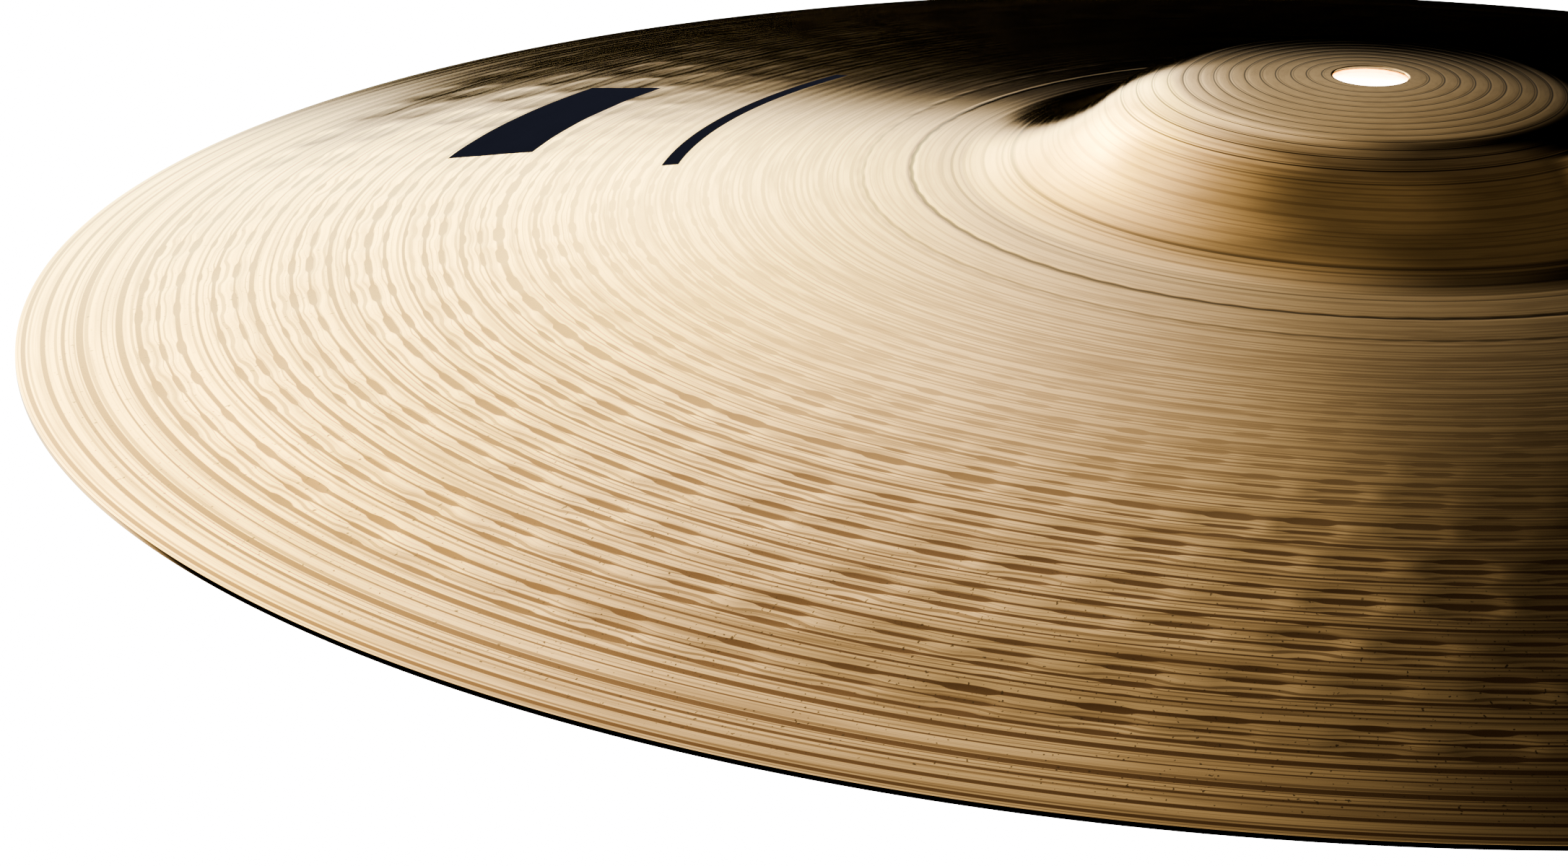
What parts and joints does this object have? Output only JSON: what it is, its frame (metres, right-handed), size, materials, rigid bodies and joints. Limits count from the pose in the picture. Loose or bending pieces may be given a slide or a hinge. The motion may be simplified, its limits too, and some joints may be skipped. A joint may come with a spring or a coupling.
{
  "type": "crash cymbal",
  "caption": "Thin domed disc of turned and hammered bronze with a raised central bell and a hole for a stand.",
  "frame": {"origin": "on the cymbal's axis, level with the underside of the rim", "axes": "+Z along the axis, up through the bell; the disc is the same in every direction round it"},
  "size_m": [0.4572, 0.4572, 0.0462],
  "materials": {
    "bronze": "turned and hammered, satin with polished high spots"
  },
  "bodies": {
    "root": {"cymbal": "bronze"}
  },
  "joints": []
}
